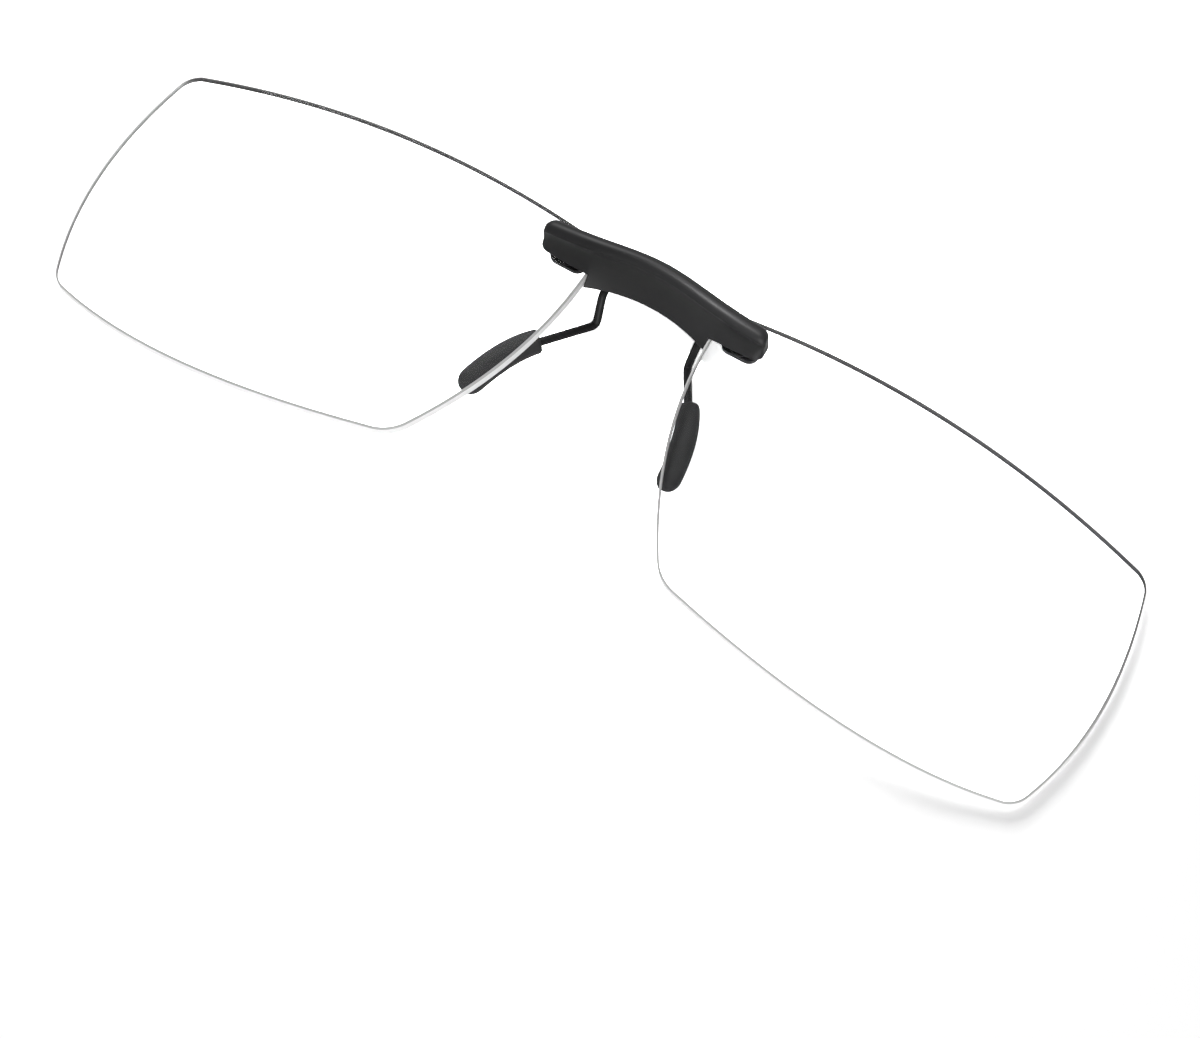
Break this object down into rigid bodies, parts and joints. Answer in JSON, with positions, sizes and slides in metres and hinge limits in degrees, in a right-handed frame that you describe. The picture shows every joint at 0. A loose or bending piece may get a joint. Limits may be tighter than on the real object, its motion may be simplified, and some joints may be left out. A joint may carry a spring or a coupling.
{
  "type": "clip-on glasses lenses with a sprung wire clip",
  "caption": "Rimless clear clip-on lenses on a black bar, with a sprung wire clip whose rubber pads grip the glasses they hang on.",
  "frame": {"origin": "midway between the two lenses, at half their height, on the plane that touches the lens backs beside the nose; the jaw closes here", "axes": "+X across the face towards the right lens as drawn from the front, +Y towards the lens tops, +Z out of the front"},
  "size_m": [0.1346, 0.0387, 0.0123],
  "materials": {
    "bar_plastic": "satin black moulding, softly polished along the lip",
    "lens_plastic": "clear polished polycarbonate with a thin blue-filtering coat",
    "black_enamel": "satin black enamel on steel",
    "plain_steel": "bright turned steel",
    "spring_steel": "drawn spring wire",
    "black_silicone": "soft black silicone",
    "black_nylon": "black nylon",
    "pad_rubber": "matte dark grey rubber sleeve"
  },
  "bodies": {
    "lens_carrier": {"bar": "bar_plastic", "lens_left": "lens_plastic", "lens_right": "lens_plastic", "lens_clamp_left": "black_enamel", "lens_clamp_right": "black_enamel", "lens_gasket_left": "black_silicone", "lens_gasket_right": "black_silicone", "lens_bushes": "black_nylon", "lens_screws": "plain_steel", "carrier": "black_enamel", "carrier_screws": "plain_steel", "hinge_pin": "plain_steel", "pin_clips": "plain_steel", "clamp_spring": "spring_steel"},
    "clip_lever": {"lever": "black_enamel", "arm_left": "black_enamel", "arm_right": "black_enamel", "pad_left": "pad_rubber", "pad_right": "pad_rubber"}
  },
  "joints": [
    {"name": "clamp_squeeze", "type": "hinge", "parent": "lens_carrier", "child": "clip_lever", "pos_m": [0, 0.0162, -0.0024], "axis": [1, 0, 0], "range_deg": [0, 28], "stiffness_Nm_per_rad": 0.006, "springref_deg": -91.67, "deforming": ["clamp_spring"]}
  ]
}
